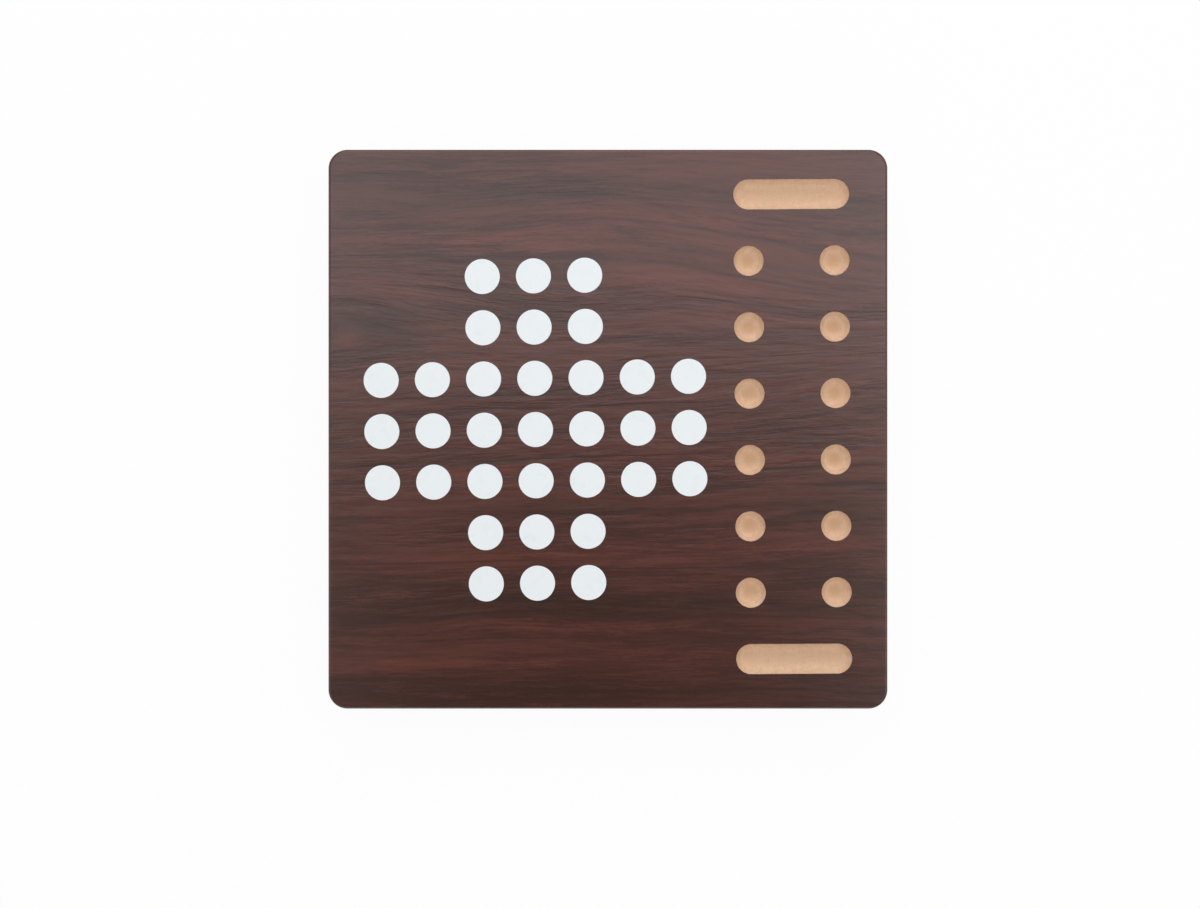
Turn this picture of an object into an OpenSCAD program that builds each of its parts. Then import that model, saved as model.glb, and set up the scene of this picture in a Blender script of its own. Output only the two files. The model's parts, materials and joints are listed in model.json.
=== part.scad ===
// Square games box. The lid lifts off, and both of its faces are boards:
// solitaire spots and mancala pits on top, a morris board underneath.
// Origin: centre of the footprint, on the surface that the feet stand on.
// +X runs to the right of the board, +Y away from the player, +Z up.

/* [Lid] */
// Side of the square lid
lid_side = 295; // [246:1:360]
// Radius of the lid's corners, seen from above
lid_corner_r = 10; // [4:0.5:14]
// Radius of the lid's top edge
lid_edge_r = 1.5; // [0.8:0.1:3]
// Thickness of the lid's fibreboard core
core_t = 12; // [9:0.5:18]
// Thickness of the wood-look foil
foil_t = 0.3; // [0.2:0.05:0.5]
// How far the lid stands out past the walls
overhang = 4; // [2:0.5:8]

/* [Solitaire field] */
// Diameter of a printed spot
spot_d = 18.5; // [12:0.1:22.5]
// From the lid's left edge to the first column of spots
left_margin = 28.3; // [20:0.1:36]
// From the last column of spots to the first column of pits
field_gap = 31.95; // [22:0.05:40]
// How far the print lies off the lid's centre line
print_shift = -0.2; // [-1.5:0.1:1.5]
// How far the print is turned on the lid, in degrees
print_skew = 0.76; // [-1:0.01:1]
// Thickness of the printed ink
ink_t = 0.1; // [0.05:0.05:0.2]

/* [Mancala field] */
// Width of a pit and of a store at the lid's face
pit_w = 16; // [12:0.5:20]
// Depth of a pit and of a store
pit_depth = 6; // [4.5:0.1:7.9]
// Distance between the two columns of pits
column_gap = 45.3; // [30:0.1:52]
// From the lid's right edge to the last column of pits
right_margin = 27.45; // [20:0.05:36]
// From the lid's front and back edges to the middle of a store
end_margin = 25; // [18:0.5:32]
// How far the routing lies off the lid's centre line
rout_shift = 1.4; // [-1.5:0.1:1.5]
// How far the routing is turned on the lid, in degrees
rout_skew = 0.37; // [-1:0.01:1]

/* [Locating panel] */
// Thickness of the panel under the lid
panel_t = 3; // [2.5:0.1:5]
// Gap between the panel and the walls, on each side
panel_clear = 0.75; // [0.4:0.05:1.5]
// Bevel round the panel's lower edge
panel_bevel = 1; // [0.5:0.1:1.5]
// Distance between neighbouring points of the morris board
morris_pitch = 38; // [28:0.5:40]
// Diameter of a morris point
morris_point_d = 11; // [6:0.5:16]
// Width of a morris line
morris_line_w = 2; // [1:0.1:4]

/* [Walls and base] */
// Height of the walls
wall_h = 28; // [23:0.5:50]
// Thickness of the walls
wall_t = 9; // [7:0.5:12]
// Radius of the walls' top edges
wall_edge_r = 1.2; // [0.6:0.1:2]
// Thickness of the base panel, and depth of the rebate that takes it
base_t = 3; // [2.5:0.1:5]
// How much of the wall's thickness the rebate leaves
rebate_lip = 4; // [3:0.5:5]
// Gap between the base panel and the rebate, on each side
base_clear = 0.25; // [0.1:0.05:0.5]
// Thickness of the felt liners
liner_t = 1; // [0.8:0.1:2]
// Gap round each felt liner
liner_clear = 0.5; // [0.2:0.1:1]

/* [Dividers] */
// Thickness of the dividers
divider_t = 4; // [3:0.5:6]
// Depth of the groove that holds a divider's end
groove_depth = 3; // [2:0.5:4]
// Gap between a divider and its groove, on each side
groove_clear = 0.1; // [0.05:0.05:0.2]
// Gap between the dividers' top edges and the lid's panel
divider_gap = 1.5; // [1:0.5:3]

/* [Feet] */
// Diameter of a rubber foot where it is stuck on
foot_d = 16; // [12:1:25]
// Diameter of a rubber foot where it stands on the table
foot_tread_d = 13; // [8:1:25]
// Height of a rubber foot
foot_t = 2.5; // [1.5:0.5:6]
// Rounding of a foot's lower edge
foot_edge_r = 0.8; // [0.4:0.1:1.2]
// From the walls' outer face to the middle of a foot
foot_inset = 20; // [16:1:40]

/* [Men and stones] */
// How far a man reaches past its spot, all round
man_cover = 0.75; // [0:0.25:1.5]
// Thickness of a man
man_t = 6; // [4:0.5:7]
// Rounding of a man's rim
man_rim_r = 1.2; // [0.5:0.1:1.8]
// Room that each man is given beside the next
man_room = 4; // [2:0.5:8]
// Diameter of a mancala stone
stone_d = 6.5; // [5:0.1:8]
// Thickness of a mancala stone
stone_t = 4; // [3.7:0.1:5]
// Rounding of a stone's rim
stone_rim_r = 1.8; // [1:0.1:1.8]
// Room that each stone is given beside the next
stone_room = 7; // [3:0.5:10]

/* [Hidden] */

$fn = 64;
small_fn = 32;
cove_fn = 96;
// How far a cutter runs past the face that it opens
past = 1;

// Counts that the games set
men_a_side = 16;
stones = 48;
store_row = 3.5;
cross_reach = 3;
cross_arm = 1;
morris_rings = 3;

// Plan sizes
box_side = lid_side - 2 * overhang;
inner_side = box_side - 2 * wall_t;
panel_side = inner_side - 2 * panel_clear;
base_side = box_side - 2 * rebate_lip - 2 * base_clear;
bay_w = (inner_side - 2 * divider_t) / 3;
divider_x = (bay_w + divider_t) / 2;

// Heights
z_wall = foot_t;
z_floor = z_wall + base_t;
z_felt = z_floor + liner_t;
z_lid = z_wall + wall_h;
z_core = z_lid + foil_t;
z_core_top = z_core + core_t;
z_face = z_core_top + foil_t;
z_panel = z_lid - panel_t;
z_print = z_panel - foil_t;
z_divider_top = z_print - divider_gap;

// The two fields on the lid's face
spot_pitch = (lid_side - left_margin - field_gap - column_gap - right_margin) / (2 * cross_reach);
solitaire_x = left_margin + cross_reach * spot_pitch - lid_side / 2;
mancala_x = lid_side / 2 - right_margin - column_gap / 2;
pit_pitch = (lid_side - 2 * end_margin) / (2 * store_row);

// The ball-nosed cutter that makes every pit and store
cove_r = (pow(pit_w / 2, 2) + pow(pit_depth, 2)) / (2 * pit_depth);
cove_z = z_face + cove_r - pit_depth;

man_d = spot_d + 2 * man_cover;

// Plan outline of the lid, with rounded corners
module rounded_square(side, r) {
    square([side - 2 * r, side], center = true);
    square([side, side - 2 * r], center = true);
    for (x = [-1, 1], y = [-1, 1]) {
        translate([x * (side / 2 - r), y * (side / 2 - r)]) circle(r);
    }
}

// Section of a board w wide and h high, with both top edges rounded
module board_section(w, h, r) {
    translate([-w / 2, 0]) square([w, h - r]);
    translate([r - w / 2, 0]) square([w - 2 * r, h]);
    for (side = [-1, 1]) {
        translate([side * (w / 2 - r), h - r]) circle(r, $fn = small_fn);
    }
}

// Half of a round board's section, for turning about Z
module half_section(radius, h, r) {
    square([radius, h - r]);
    square([radius - r, h]);
    translate([radius - r, h - r]) circle(r, $fn = small_fn);
}

// Square slab with rounded corners and a rounded top edge
module slab(side, h, corner_r, edge_r) {
    for (turn = [0, 90]) {
        rotate([90, 0, turn]) {
            linear_extrude(side - 2 * corner_r, center = true) board_section(side, h, edge_r);
        }
    }
    for (x = [-1, 1], y = [-1, 1]) {
        translate([x * (side / 2 - corner_r), y * (side / 2 - corner_r), 0]) {
            rotate_extrude() half_section(corner_r, h, edge_r);
        }
    }
}

// What the cutter takes away where it plunges
module cove_ball() {
    sphere(cove_r, $fn = cove_fn);
}

// All pits and both stores, as one cutter
module coves() {
    translate([mancala_x, rout_shift, cove_z]) rotate([0, 0, rout_skew]) {
        for (row = [1 - store_row : store_row - 1], column = [-1, 1]) {
            translate([column * column_gap / 2, row * pit_pitch, 0]) cove_ball();
        }
        for (row = [-store_row, store_row]) {
            translate([0, row * pit_pitch, 0]) {
                rotate([0, 90, 0]) cylinder(r = cove_r, h = column_gap, center = true);
                for (end = [-1, 1]) {
                    translate([end * column_gap / 2, 0, 0]) cove_ball();
                }
            }
        }
    }
}

// The part of the lid that the foil is pressed over, reaching down by extra
module core_slab(extra = 0) {
    translate([0, 0, z_core - extra]) {
        slab(lid_side - 2 * foil_t, core_t + extra, lid_corner_r - foil_t, lid_edge_r - foil_t);
    }
}

module lid_core() {
    color("tan") difference() {
        core_slab();
        coves();
    }
}

module lid_foil() {
    color("saddlebrown") difference() {
        translate([0, 0, z_lid]) slab(lid_side, z_face - z_lid, lid_corner_r, lid_edge_r);
        core_slab(foil_t + past);
        coves();
    }
}

module lid_back_sheet() {
    color("dimgray") translate([0, 0, z_lid]) {
        linear_extrude(foil_t) rounded_square(lid_side - 2 * foil_t, lid_corner_r - foil_t);
    }
}

module solitaire_spots() {
    color("white") translate([solitaire_x, print_shift, z_face]) rotate([0, 0, print_skew]) {
        for (i = [-cross_reach : cross_reach], j = [-cross_reach : cross_reach]) {
            if (min(abs(i), abs(j)) <= cross_arm) {
                translate([i * spot_pitch, j * spot_pitch, 0]) cylinder(d = spot_d, h = ink_t);
            }
        }
    }
}

// Section of the locating panel, bevelled along its lower edge
module panel_section() {
    half = panel_side / 2;
    polygon([
        [-half, panel_t], [-half, panel_bevel], [panel_bevel - half, 0],
        [half - panel_bevel, 0], [half, panel_bevel], [half, panel_t]
    ]);
}

module locating_panel() {
    color("sienna") translate([0, 0, z_panel]) intersection_for (turn = [0, 90]) {
        rotate([90, 0, turn]) {
            linear_extrude(panel_side, center = true) panel_section();
        }
    }
}

module panel_foil() {
    face_side = panel_side - 2 * panel_bevel;
    color("saddlebrown") translate([0, 0, z_print + foil_t / 2]) {
        cube([face_side, face_side, foil_t], center = true);
    }
}

// One ring of the morris board, with its eight points
module morris_ring(half) {
    difference() {
        square(2 * half + morris_line_w, center = true);
        square(2 * half - morris_line_w, center = true);
    }
    for (x = [-1 : 1], y = [-1 : 1]) {
        if (x != 0 || y != 0) {
            translate([x * half, y * half]) circle(d = morris_point_d, $fn = small_fn);
        }
    }
}

module morris_print() {
    reach = (morris_rings - 1) * morris_pitch;
    color("white") translate([0, 0, z_print - ink_t]) linear_extrude(ink_t) {
        for (ring = [1 : morris_rings]) {
            morris_ring(ring * morris_pitch);
        }
        for (turn = [0 : 90 : 270]) {
            rotate(turn) translate([morris_pitch, -morris_line_w / 2]) square([reach, morris_line_w]);
        }
    }
}

// Section of a wall at its place, set in from its faces by skin
module wall_section(skin) {
    translate([(wall_t - box_side) / 2, z_wall]) {
        board_section(wall_t - 2 * skin, wall_h - skin, wall_edge_r - skin);
    }
}

// The wedge of the plan that one wall may fill, which mitres its ends
module mitre_wedge() {
    half = box_side / 2 + past;
    translate([0, 0, z_wall - past]) linear_extrude(wall_h + 2 * past) {
        polygon([[0, 0], [-half, -half], [half, -half]]);
    }
}

// Front wall's length of the section, mitred, set in by skin
module wall_bar(skin) {
    intersection() {
        rotate([90, 0, 90]) linear_extrude(box_side, center = true) wall_section(skin);
        mitre_wedge();
    }
}

// Rebate for the base panel
module base_rebate() {
    side = box_side - 2 * rebate_lip;
    translate([-side / 2, -side / 2, z_wall - past]) cube([side, side, base_t + past]);
}

// Grooves for the dividers' ends, open at the top
module divider_grooves() {
    w = divider_t + 2 * groove_clear;
    length = inner_side + 2 * groove_depth;
    for (side = [-1, 1]) {
        translate([side * divider_x - w / 2, -length / 2, z_floor]) {
            cube([w, length, wall_h]);
        }
    }
}

// A wall's fibreboard, turned to its side of the box
module wall_core(turn) {
    color("tan") difference() {
        rotate([0, 0, turn]) wall_bar(foil_t);
        base_rebate();
        divider_grooves();
    }
}

// The foil wrapped round a wall's outer face, top edge and inner face
module wall_foil(turn) {
    color("saddlebrown") difference() {
        rotate([0, 0, turn]) difference() {
            wall_bar(0);
            wall_bar(foil_t);
        }
        base_rebate();
        divider_grooves();
    }
}

module base_panel() {
    color("sienna") translate([-base_side / 2, -base_side / 2, z_wall]) {
        cube([base_side, base_side, base_t]);
    }
}

// One divider, on the left or right side of the middle bay
module divider(side) {
    length = inner_side + 2 * (groove_depth - groove_clear);
    color("peru") translate([side * divider_x - divider_t / 2, -length / 2, z_floor]) {
        cube([divider_t, length, z_divider_top - z_floor]);
    }
}

module felt_liners() {
    w = bay_w - 2 * liner_clear;
    length = inner_side - 2 * liner_clear;
    color("darkgreen") for (bay = [-1 : 1]) {
        translate([bay * (bay_w + divider_t) - w / 2, -length / 2, z_floor]) cube([w, length, liner_t]);
    }
}

// Half section of a moulded foot, tapering down to its rounded tread
module foot_section() {
    tread_r = foot_tread_d / 2 - foot_edge_r;
    difference() {
        square([foot_d / 2, foot_t]);
        polygon([[foot_tread_d / 2, 0], [foot_d / 2 + past, 0], [foot_d / 2 + past, foot_t], [foot_d / 2, foot_t]]);
        translate([tread_r, 0]) difference() {
            square(foot_edge_r);
            translate([0, foot_edge_r]) circle(foot_edge_r, $fn = small_fn);
        }
    }
}

module rubber_feet() {
    reach = box_side / 2 - foot_inset;
    color("black") for (x = [-1, 1], y = [-1, 1]) {
        translate([x * reach, y * reach, 0]) rotate_extrude() foot_section();
    }
}

// Half section of a round piece with both edges rounded, for turning about Z
module disc_section(radius, t, r) {
    square([radius - r, t]);
    translate([0, r]) square([radius, t - 2 * r]);
    for (y = [r, t - r]) {
        translate([radius - r, y]) intersection() {
            circle(r, $fn = small_fn);
            translate([0, -r]) square([r, 2 * r]);
        }
    }
}

module man() {
    rotate_extrude() disc_section(man_d / 2, man_t, man_rim_r);
}

module stone() {
    rotate_extrude() disc_section(stone_d / 2, stone_t, stone_rim_r);
}

// Lays count pieces of diameter d loosely over a bay, in a single layer.
// Each piece has a cell of its own and lies anywhere in it.
module scatter(count, bay, d, room, seed) {
    columns = floor(bay_w / (d + room));
    rows = ceil(count / columns);
    cell = [bay_w / columns, inner_side / rows];
    slack = [(cell[0] - d) / 2 - liner_clear, (cell[1] - d) / 2 - liner_clear];
    drift = rands(-1, 1, 2 * count, seed);
    for (i = [0 : count - 1]) {
        x = (i % columns + 0.5) * cell[0] - bay_w / 2 + drift[2 * i] * slack[0];
        y = (floor(i / columns) + 0.5) * cell[1] - inner_side / 2 + drift[2 * i + 1] * slack[1];
        translate([bay * (bay_w + divider_t) + x, y, z_felt]) children();
    }
}

module light_men() {
    color("burlywood") scatter(men_a_side, -1, man_d, man_room, 11) man();
}

module dark_men() {
    color("maroon") scatter(men_a_side, 1, man_d, man_room, 29) man();
}

module mancala_stones() {
    color("slategray") scatter(stones, 0, stone_d, stone_room, 47) stone();
}

lid_core();
lid_foil();
lid_back_sheet();
solitaire_spots();
locating_panel();
panel_foil();
morris_print();
wall_core(0);  // front_wall
wall_core(90);  // right_wall
wall_core(180);  // back_wall
wall_core(270);  // left_wall
wall_foil(0);  // front_wall_foil
wall_foil(90);  // right_wall_foil
wall_foil(180);  // back_wall_foil
wall_foil(270);  // left_wall_foil
base_panel();
divider(-1);  // left_divider
divider(1);  // right_divider
felt_liners();
rubber_feet();
light_men();
dark_men();
mancala_stones();
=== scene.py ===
"""Dresses a square games box whose lift-off lid is a board on both of its faces.

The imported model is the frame, in metres: the origin is at the centre of the footprint, +X runs to
the right of the board, +Y away from the player and +Z up. Each sub-assembly is a class below, and
main() builds them in order.
"""

import json
import logging
import math
from collections.abc import Sequence
from dataclasses import dataclass
from enum import Enum

import bmesh
import bpy
from mathutils import Matrix, Vector
from mathutils.geometry import delaunay_2d_cdt


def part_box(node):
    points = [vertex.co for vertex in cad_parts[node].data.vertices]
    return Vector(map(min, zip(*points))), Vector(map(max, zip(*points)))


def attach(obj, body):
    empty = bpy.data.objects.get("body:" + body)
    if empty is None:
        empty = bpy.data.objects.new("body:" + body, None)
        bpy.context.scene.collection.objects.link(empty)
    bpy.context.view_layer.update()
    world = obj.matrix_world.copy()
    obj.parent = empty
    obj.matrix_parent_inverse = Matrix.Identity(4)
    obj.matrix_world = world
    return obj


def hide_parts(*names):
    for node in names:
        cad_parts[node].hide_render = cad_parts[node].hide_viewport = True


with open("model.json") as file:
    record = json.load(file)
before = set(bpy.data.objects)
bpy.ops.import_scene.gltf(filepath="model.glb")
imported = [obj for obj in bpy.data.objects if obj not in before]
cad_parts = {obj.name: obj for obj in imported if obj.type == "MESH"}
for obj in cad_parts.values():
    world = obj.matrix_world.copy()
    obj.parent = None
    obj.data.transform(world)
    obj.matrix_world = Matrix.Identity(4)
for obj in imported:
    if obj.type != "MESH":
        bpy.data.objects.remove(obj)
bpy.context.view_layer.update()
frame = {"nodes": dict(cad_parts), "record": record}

MM = 0.001
PHOTO_SIZE = (1200, 908)
X_AXIS, Y_AXIS = 0, 1
EVERY_WAY = (1.0, 1.0, 1.0)
SIDEWAYS = (1.0, 1.0, 0.0)
NO_TURN = (0.0, 0.0, 0.0)
WHOLE_TURN = (0.0, 0.0, 2 * math.pi)
WHITE = (1.0, 1.0, 1.0, 1.0)
log = logging.getLogger("games_box")

Loop = list[bmesh.types.BMVert]
Size = tuple[float, float, float]
Socket = bpy.types.NodeSocket


def linear(code: str) -> tuple[float, float, float, float]:
    """Turns an sRGB hex colour such as "#a0b0c0" into a linear one.

    Args:
        code: The colour as it is seen.

    Returns:
        Red, green, blue and alpha, as the shaders take them.
    """
    seen = [int(code[i:i + 2], 16) / 255 for i in (1, 3, 5)]
    light = [c / 12.92 if c <= 0.04045 else ((c + 0.055) / 1.055) ** 2.4 for c in seen]
    return (light[0], light[1], light[2], 1.0)


class Graph:
    """A node tree that is being filled."""

    def __init__(self, tree: bpy.types.NodeTree) -> None:
        """Takes the tree to fill, and empties it."""
        self.tree = tree
        tree.nodes.clear()

    def add(self, kind: str, inputs: Sequence | dict = (), **settings: object) -> Socket | None:
        """Adds a node with its settings and links.

        Args:
            kind: The node's type, short for a shader node, and its operation if it has one.
            inputs: What feeds each input, a socket or a value: in order, or by name or number.
            settings: The node's own properties.

        Returns:
            The first output that the settings leave in use, or nothing if the node ends the tree.
        """
        kind, _, operation = kind.partition(" ")
        node = self.tree.nodes.new(kind if "Node" in kind else f"ShaderNode{kind}")
        if operation:
            node.operation = operation
        for name, value in settings.items():
            setattr(node, name, value)
        for key, value in inputs.items() if isinstance(inputs, dict) else enumerate(inputs):
            if isinstance(value, Socket):
                self.tree.links.new(value, node.inputs[key])
            else:
                node.inputs[key].default_value = value
        return next((output for output in node.outputs if output.enabled), None)


class ShaderGraph(Graph):
    """A material's node tree, with what the finishes share."""

    def millimetres(self, stored: str = "") -> Socket:
        """Adds the place on the object in millimetres.

        Args:
            stored: The attribute that holds the place, if it isn't the object's own.

        Returns:
            The place.
        """
        if stored:
            metres = self.add("Attribute", attribute_name=stored).node.outputs["Vector"]
        else:
            metres = self.add("TexCoord").node.outputs["Object"]
        return self.add("VectorMath SCALE", {0: metres, "Scale": 1 / MM})

    def pattern(self, at: Socket, size: Size, detail: float, seed: float, span: Size | None = None) -> Socket:
        """Adds soft noise whose patches have a given size.

        Args:
            at: The place, in millimetres.
            size: The patches' length along each axis, in millimetres.
            detail: How many finer layers lie over the noise.
            seed: Picks one noise of many.
            span: The noise that gives nought, the noise that gives the most, and how much that is.

        Returns:
            The noise, which lies around a half if it has no span.
        """
        shrink = tuple(1 / length for length in size)
        scaled = self.add("VectorMath MULTIPLY", [at, shrink])
        inputs = {"Vector": scaled, "W": seed, "Scale": 1.0, "Detail": detail, "Roughness": 0.55}
        noise = self.add("TexNoise", inputs, noise_dimensions="4D")
        if span is None:
            return noise
        low, high, most = span
        return self.add("MapRange", [noise, low, high, 0.0, most])

    def coats(self, body: str | Socket, *coats: tuple[Socket, str]) -> Socket:
        """Lays colours over one another.

        Args:
            body: The colour underneath.
            coats: How much of each further colour is laid on, and the colour.

        Returns:
            The colour that is seen.
        """
        colour = linear(body) if isinstance(body, str) else body
        for share, code in coats:
            colour = self.add("Mix", {0: share, 6: colour, 7: linear(code)}, data_type="RGBA")
        return colour

    def shader(
        self, colour: Socket, gloss: dict[str, float], height: Socket | None = None,
        strength: float = 1.0, relief: float = 1.0,
    ) -> Socket:
        """Adds the shader.

        Args:
            colour: The colour.
            gloss: How it takes the light, by the shader's own names.
            height: The relief, if there is any.
            strength: How strongly the relief tells.
            relief: What a height of one stands for, in millimetres.

        Returns:
            The shader.
        """
        inputs = {"Base Color": colour, **gloss}
        if height is not None:
            bump = {"Strength": strength, "Distance": relief * MM, "Height": height}
            inputs["Normal"] = self.add("Bump", bump)
        return self.add("BsdfPrincipled", inputs)


class Skin:
    """A mesh that is built up from loops of points."""

    def __init__(self) -> None:
        """Starts with an empty mesh."""
        self.bm = bmesh.new()
        self.lay = self.bm.verts.layers.float_vector.new("lay")

    def loop(self, plan: Sequence[Vector], z: float, lay: Sequence[Vector] = ()) -> Loop:
        """Adds a loop of points at one height.

        Args:
            plan: The loop seen from above.
            z: Its height.
            lay: Where each point lies on a print or a tool mark, if that isn't its place in the plan.

        Returns:
            The loop's vertices, in order.
        """
        verts = [self.bm.verts.new((p.x, p.y, z)) for p in plan]
        for vert, place in zip(verts, lay or plan):
            vert[self.lay] = place.to_3d()
        return verts

    def join(self, *loops: Loop, smooth: bool = True) -> None:
        """Joins each loop to the next one, which has as many points, with a band of faces.

        Args:
            loops: The loops, in order.
            smooth: Whether the bands are shaded smooth.
        """
        for a, b in zip(loops, loops[1:]):
            for i in range(len(a)):
                k = (i + 1) % len(a)
                self.bm.faces.new((a[i], a[k], b[k], b[i])).smooth = smooth

    def close(self, *loops: Loop) -> None:
        """Closes each loop with one face."""
        for loop in loops:
            self.bm.faces.new(loop).smooth = True

    def cover(self, outline: Loop, holes: list[Loop]) -> None:
        """Fills a convex outline with a flat face that has convex holes.

        Args:
            outline: The loop round the outside.
            holes: The loops that stay open. A triangle with all its corners on one of them lies inside it.
        """
        verts, owners, rims = [], [], []
        for owner, loop in enumerate((outline, *holes)):
            first = len(verts)
            verts += loop
            owners += [owner] * len(loop)
            rims += [(first + i, first + (i + 1) % len(loop)) for i in range(len(loop))]
        plan = [vert.co.xy / MM for vert in verts]
        _, _, triangles, sources, _, _ = delaunay_2d_cdt(plan, rims, [], 0, 1e-6)
        for triangle in triangles:
            corners = [sources[i][0] for i in triangle]
            met = {owners[i] for i in corners}
            if len(met) > 1 or 0 in met:
                self.bm.faces.new([verts[i] for i in corners])

    def mesh(self, name: str, closed: bool = True) -> bpy.types.Mesh:
        """Turns what was built into a mesh.

        Args:
            name: The mesh's name.
            closed: Whether it has an inside, so that its faces can be turned outward.

        Returns:
            The mesh.
        """
        if closed:
            bmesh.ops.recalc_face_normals(self.bm, faces=self.bm.faces)
        mesh = bpy.data.meshes.new(name)
        self.bm.to_mesh(mesh)
        self.bm.free()
        return mesh


def plain_mesh(name: str, points: Sequence, edges: Sequence = (), faces: Sequence = ()) -> bpy.types.Mesh:
    """Makes a mesh from lists.

    Args:
        name: The mesh's name.
        points: Its points.
        edges: Pairs of points, by number.
        faces: Rings of points, by number.

    Returns:
        The mesh.
    """
    mesh = bpy.data.meshes.new(name)
    mesh.from_pydata([tuple(point) for point in points], edges, faces)
    return mesh


def place(name: str, data: bpy.types.ID) -> bpy.types.Object:
    """Puts a mesh, a lamp or a camera into the scene.

    Args:
        name: The object's name.
        data: What it shows.

    Returns:
        The object, at the origin.
    """
    thing = bpy.data.objects.new(name, data)
    bpy.context.scene.collection.objects.link(thing)
    return thing


def show(name: str, mesh: bpy.types.Mesh, finish: "Finish") -> bpy.types.Object:
    """Puts a mesh into the scene as a piece.

    Args:
        name: The piece's name.
        mesh: Its shape, in the frame's place.
        finish: What it is made of.

    Returns:
        The piece, at the origin.
    """
    mesh.name = name
    mesh.materials.clear()
    mesh.materials.append(finish.material())
    log.info("%s: %d faces", name, len(mesh.polygons))
    return place(name, mesh)


def dress(node: str, finish: "Finish") -> None:
    """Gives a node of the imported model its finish.

    Args:
        node: The node's name.
        finish: What it is made of.
    """
    data = frame["nodes"][node].data
    data.materials.clear()
    data.materials.append(finish.material())
    log.info("%s: %s", node, finish.name)


@dataclass(frozen=True)
class Finish:
    """A surface, named for what it is made of, and the record's material slot for it."""

    name: str
    slot: str = ""

    def material(self) -> bpy.types.Material:
        """Gives the finish's material, and makes it the first time.

        Returns:
            The material.
        """
        made = bpy.data.materials.get(self.name)
        if made is None:
            made = bpy.data.materials.new(self.name)
            made.use_nodes = True
            graph = ShaderGraph(made.node_tree)
            graph.add("OutputMaterial", {"Surface": self.surface(graph)})
        return made

    def surface(self, g: ShaderGraph) -> Socket:
        """Adds the finish's own nodes.

        Args:
            g: The tree.

        Returns:
            The shader.
        """
        raise NotImplementedError


class Grain(Enum):
    """How a printed wood grain lies on the piece that it covers."""

    OVER_LID = "left to right, and on down over the lid's edges"
    ALONG_X = "left to right"
    ALONG_Y = "front to back"


@dataclass(frozen=True)
class Mark:
    """A long soft patch on a print, in millimetres from its middle."""

    x: float
    y: float
    along: float
    across: float
    amount: float

    def depth(self, x: float, y: float) -> float:
        """Gives the patch's amount at a place."""
        return self.amount * math.exp(-(((x - self.x) / self.along) ** 2) - ((y - self.y) / self.across) ** 2)


@dataclass(frozen=True)
class Figure:
    """The main lines of a printed grain, laid out in millimetres.

    Swells lift the grain, so that it arches at the back, falls away at the back right and flows
    round a knot at the left edge. Tints make it redder, or greyer below nought, and one broad band of them
    down the middle is painted shade, in place of a weaker sheen there. Veins darken it, or make it paler
    below nought. Most of the broadest of them are the print's slow changes of tone, but some are painted
    light: the front is darker and the back paler as painted shade and painted sheen, a pale strip at the
    right edge is painted sheen, and thin pale lines along the left and right edges are painted highlights on
    the arrises.
    """

    swells: tuple[Mark, ...] = ()
    tints_and_painted_shade: tuple[Mark, ...] = ()
    veins_and_painted_light: tuple[Mark, ...] = ()

    def level(self, mark: Mark) -> float:
        """Gives where a mark lies across the grain before the swells bend it."""
        return mark.y - sum(swell.depth(mark.x, mark.y) for swell in self.swells)


LID_SWELLS = (
    (-5, 112, 60, 26, 6), (155, 74, 95, 30, -16), (150, 30, 90, 22, 9), (-150, 68, 60, 18, 8),
    (-30, 72, 55, 20, -6), (-150, 38, 55, 14, -5), (150, -20, 110, 50, 7), (-150, -20, 110, 50, -7),
    (-55, -100, 36, 14, 4),
)
LID_TINTS_AND_PAINTED_SHADE = (
    (-80, 98, 85, 5, 0.7), (-5, 111, 22, 5, 0.5), (60, 107, 60, 2.5, 0.5), (55, 77, 60, 4, 0.5),
    (-115, 72, 30, 5, 0.5), (90, 58, 70, 8, 0.3), (0, -20, 160, 2.5, 0.7), (0, -66, 120, 4.5, 0.8),
    (-30, -104, 50, 3, 0.5), (-110, -124, 60, 3, 0.6), (30, -122, 90, 4.5, 0.8), (0, 126, 170, 10, -0.4),
    (-118, 54, 24, 7, -0.4), (0, -94, 150, 5, -0.6), (-30, -41, 70, 4, -0.5), (125, -43, 30, 7, -0.5),
    # Painted shade: (35, 0, 45, 200, 0.2) on the next row reddens a broad band down the middle, in place of a
    # weaker sheen there.
    (0, -138, 170, 6, -0.5), (35, 0, 45, 200, 0.2),
)
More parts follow.
